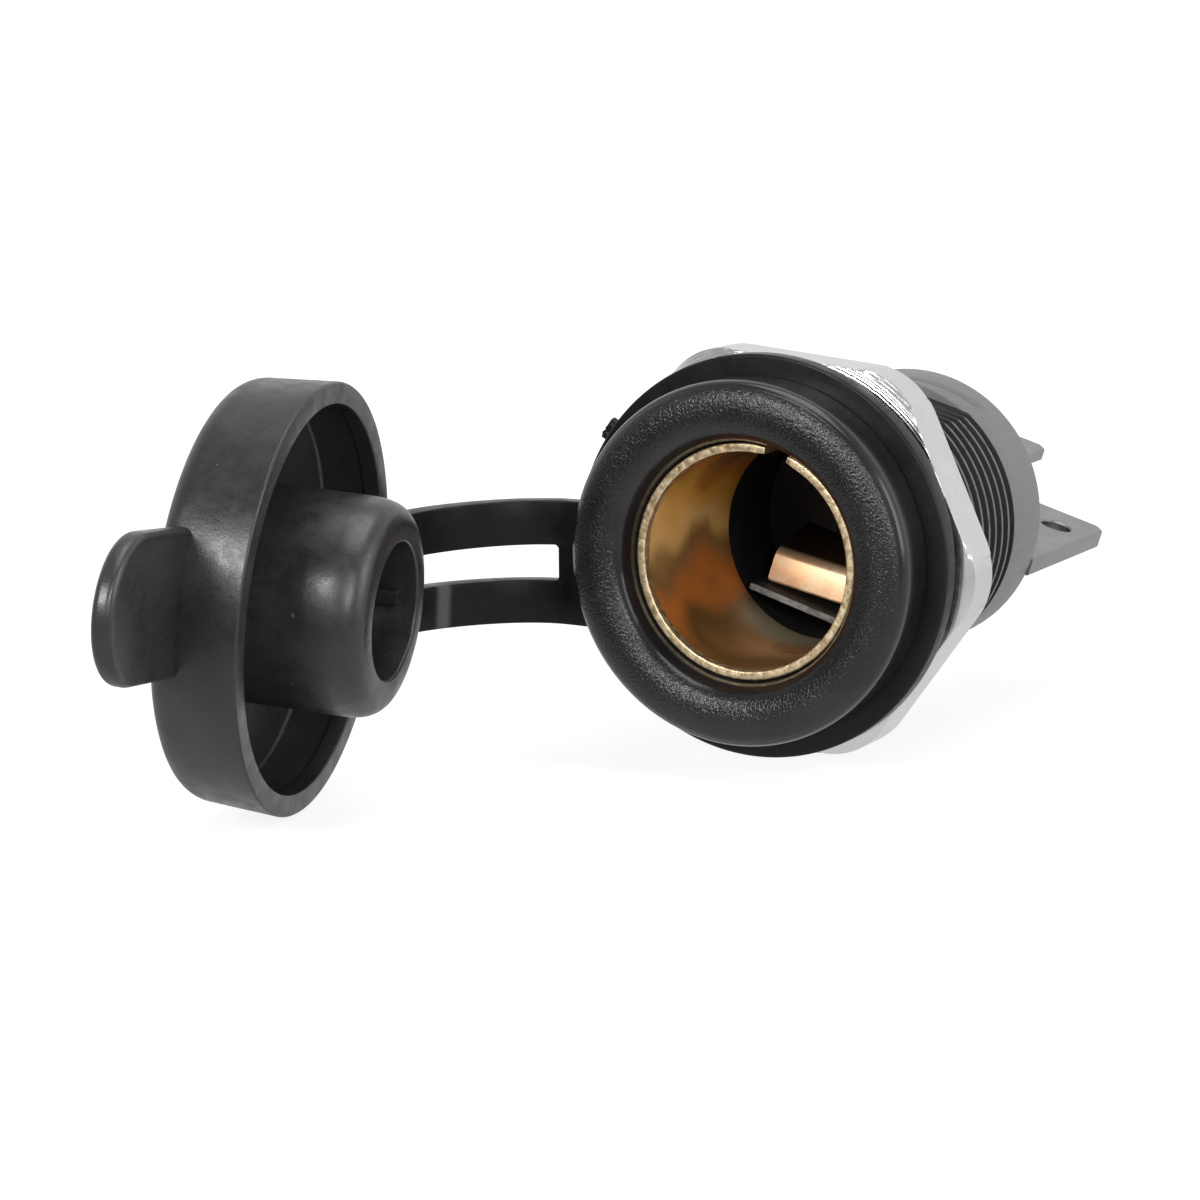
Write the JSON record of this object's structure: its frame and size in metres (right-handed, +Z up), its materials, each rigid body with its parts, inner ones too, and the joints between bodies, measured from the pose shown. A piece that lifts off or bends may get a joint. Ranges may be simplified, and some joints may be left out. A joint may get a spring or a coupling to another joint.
{
  "type": "panel power socket with tethered dust cap",
  "caption": "Panel-mount 12 mm plug power socket: domed head, split brass sleeve, threaded barrel with nut, rear blade terminals and a rubber dust cap on a strap.",
  "frame": {"origin": "centre of the plug bore at the front face of the contact sleeve", "axes": "the bore runs along Y and its mouth faces -Y, Z is up, the dust cap lies at -X"},
  "size_m": [0.035, 0.0754, 0.0232],
  "materials": {
    "body_plastic": "fine grain on the head's dome, smooth elsewhere",
    "brass": "drawn, lightly tarnished",
    "tinned_blade": "dull tin plate",
    "copper": "satin copper alloy",
    "insulator": "fibrous sheet",
    "nut_plating": "satin plating with fine turning marks",
    "rubber": "matt moulded rubber"
  },
  "bodies": {
    "socket": {"socket_body": "body_plastic", "outer_sleeve": "brass", "sleeve_terminal": "tinned_blade", "centre_contact": "copper", "centre_terminal": "tinned_blade", "insulator_shelf": "insulator", "strap_ring": "rubber"},
    "nut": {"panel_nut": "nut_plating"},
    "strap": {"strap": "rubber"},
    "cap": {"dust_cap": "rubber"}
  },
  "joints": [
    {"name": "nut_travel", "type": "slide", "parent": "socket", "child": "nut", "axis": [0, 1, 0], "range_m": [-0.0008, 0.0336]},
    {"name": "cap_swing", "type": "hinge", "parent": "socket", "child": "strap", "pos_m": [-0.01552, -0.00266, -0.0015], "axis": [0.0287, -0.0758, 0.9967], "range_deg": [-100, 77.98], "stiffness_Nm_per_rad": 0.002, "deforming": ["strap"]},
    {"name": "cap_press", "type": "slide", "parent": "strap", "child": "cap", "axis": [0.9732, 0.2127, -0.0879], "range_m": [0, 0.0082], "stiffness_N_per_m": 40}
  ]
}
